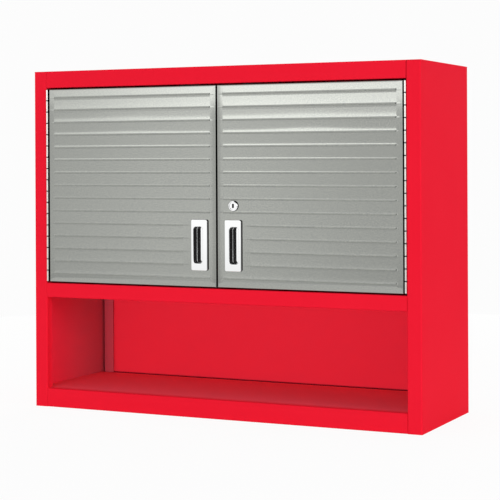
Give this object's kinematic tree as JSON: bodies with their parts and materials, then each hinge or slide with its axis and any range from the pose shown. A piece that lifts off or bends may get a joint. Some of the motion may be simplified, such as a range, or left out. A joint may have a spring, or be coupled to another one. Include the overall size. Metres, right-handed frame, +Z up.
{
  "type": "metal storage cabinet",
  "caption": "Wall-hung steel storage cabinet with ribbed double doors on continuous hinges, pull handles and a cam lock over an open lower bay.",
  "frame": {"origin": "below the middle of the cabinet, at the level it stands on", "axes": "+Z up, the doors face -Y, the wall side is +Y, +X to the viewer's right"},
  "size_m": [0.9144, 0.3096, 0.75],
  "materials": {
    "red_powder_coat": "gloss powder coat",
    "satin_steel": "satin",
    "grey_paint": "satin paint",
    "bright_chrome": "polished chrome plate",
    "nickel_plate": "bright nickel plate",
    "zinc_plate": "bright zinc plate",
    "aluminium_rivet": "plain",
    "black_plastic": "matte moulded",
    "ferrite": "sintered"
  },
  "bodies": {
    "cabinet": {"left_side_panel": "red_powder_coat", "right_side_panel": "red_powder_coat", "top_panel": "red_powder_coat", "divider_panel": "red_powder_coat", "base_panel": "red_powder_coat", "back_panel": "red_powder_coat", "upper_hanging_rail": "red_powder_coat", "lower_hanging_rail": "red_powder_coat", "shelf_standards": "zinc_plate", "shelf_clips": "zinc_plate", "adjustable_shelf": "red_powder_coat", "catch_housings": "black_plastic", "catch_magnets": "ferrite", "left_hinge_frame_leaf": "nickel_plate", "right_hinge_frame_leaf": "nickel_plate", "left_hinge_pin": "nickel_plate", "right_hinge_pin": "nickel_plate", "hinge_frame_rivets": "aluminium_rivet", "back_panel_rivets": "aluminium_rivet"},
    "left_door": {"left_door_skin": "satin_steel", "left_door_liner": "grey_paint", "left_handle": "bright_chrome", "left_handle_screws": "zinc_plate", "left_hinge_door_leaf": "nickel_plate", "left_hinge_door_rivets": "aluminium_rivet", "left_catch_strikes": "zinc_plate", "lock_keeper": "zinc_plate"},
    "right_door": {"right_door_skin": "satin_steel", "right_door_liner": "grey_paint", "right_handle": "bright_chrome", "right_handle_screws": "zinc_plate", "right_hinge_door_leaf": "nickel_plate", "right_hinge_door_rivets": "aluminium_rivet", "right_catch_strikes": "zinc_plate", "lock_housing": "bright_chrome", "lock_nut": "zinc_plate"},
    "lock": {"lock_plug": "bright_chrome", "lock_cam": "zinc_plate", "cam_screw": "zinc_plate"}
  },
  "joints": [
    {"name": "left_door_swing", "type": "hinge", "parent": "cabinet", "child": "left_door", "pos_m": [-0.424, -0.15025, 0.2803], "axis": [0, 0, -1], "range_deg": [0, 170]},
    {"name": "right_door_swing", "type": "hinge", "parent": "cabinet", "child": "right_door", "pos_m": [0.424, -0.15025, 0.2803], "axis": [0, 0, 1], "range_deg": [0, 170]},
    {"name": "lock_turn", "type": "hinge", "parent": "right_door", "child": "lock", "pos_m": [0.04, -0.15025, 0.4535], "axis": [0, 1, 0], "range_deg": [0, 90]}
  ]
}
